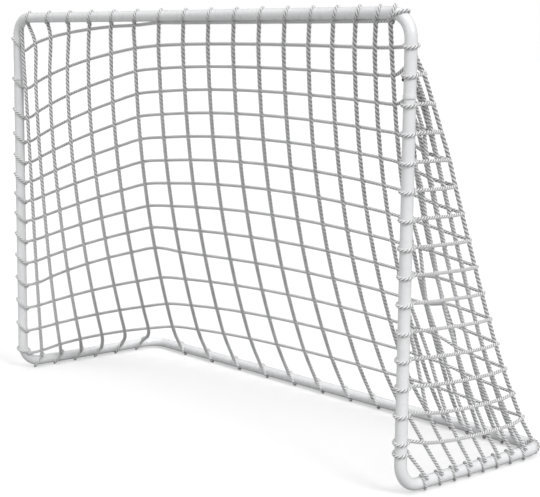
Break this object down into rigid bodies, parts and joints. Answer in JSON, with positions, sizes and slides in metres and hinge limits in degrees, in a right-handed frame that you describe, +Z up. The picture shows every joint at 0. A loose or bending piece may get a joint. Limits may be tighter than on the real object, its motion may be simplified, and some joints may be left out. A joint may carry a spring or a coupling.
{
  "type": "soccer goal frame",
  "caption": "Small free-standing soccer goal: push-together steel tube frame with snap-button joints, a low ground frame at the back and a laced rope net.",
  "frame": {"origin": "on the ground, midway between the side rails and midway between the posts and the rear bar", "axes": "+X along the crossbar to the right as seen from the goal mouth, +Y from the goal mouth to the back, +Z up"},
  "size_m": [1.8482, 0.6281, 1.2351],
  "materials": {
    "white_paint": "gloss",
    "button_steel": "satin",
    "spring_steel": "satin",
    "net_rope": "matte"
  },
  "bodies": {
    "frame": {"crossbar": "white_paint", "post_left": "white_paint", "post_right": "white_paint", "rear_frame": "white_paint", "leaf_clip_post_left": "spring_steel", "leaf_clip_post_right": "spring_steel", "leaf_clip_rail_left": "spring_steel", "leaf_clip_rail_right": "spring_steel", "net_header_rope": "net_rope", "net_back_columns": "net_rope", "net_back_rows": "net_rope", "net_left_columns": "net_rope", "net_left_rows": "net_rope", "net_right_columns": "net_rope", "net_right_rows": "net_rope", "loops_crossbar": "net_rope", "loops_post_left": "net_rope", "loops_post_right": "net_rope", "loops_rail_left": "net_rope", "loops_rail_right": "net_rope", "loops_rear_bar": "net_rope"},
    "button_post_left": {"snap_button_post_left": "button_steel"},
    "button_post_right": {"snap_button_post_right": "button_steel"},
    "button_rail_left": {"snap_button_rail_left": "button_steel"},
    "button_rail_right": {"snap_button_rail_right": "button_steel"}
  },
  "joints": [
    {"name": "press_post_left", "type": "slide", "parent": "frame", "child": "button_post_left", "axis": [0.7071, -0.7071, 0], "range_m": [0, 0.0062], "stiffness_N_per_m": 2000, "springref_m": -0.002, "deforming": ["leaf_clip_post_left"]},
    {"name": "press_post_right", "type": "slide", "parent": "frame", "child": "button_post_right", "axis": [0.7071, 0.7071, 0], "range_m": [0, 0.0062], "stiffness_N_per_m": 2000, "springref_m": -0.002, "deforming": ["leaf_clip_post_right"]},
    {"name": "press_rail_left", "type": "slide", "parent": "frame", "child": "button_rail_left", "axis": [1, 0, 0], "range_m": [0, 0.0062], "stiffness_N_per_m": 2000, "springref_m": -0.002, "deforming": ["leaf_clip_rail_left"]},
    {"name": "press_rail_right", "type": "slide", "parent": "frame", "child": "button_rail_right", "axis": [1, 0, 0], "range_m": [0, 0.0062], "stiffness_N_per_m": 2000, "springref_m": -0.002, "deforming": ["leaf_clip_rail_right"]}
  ]
}
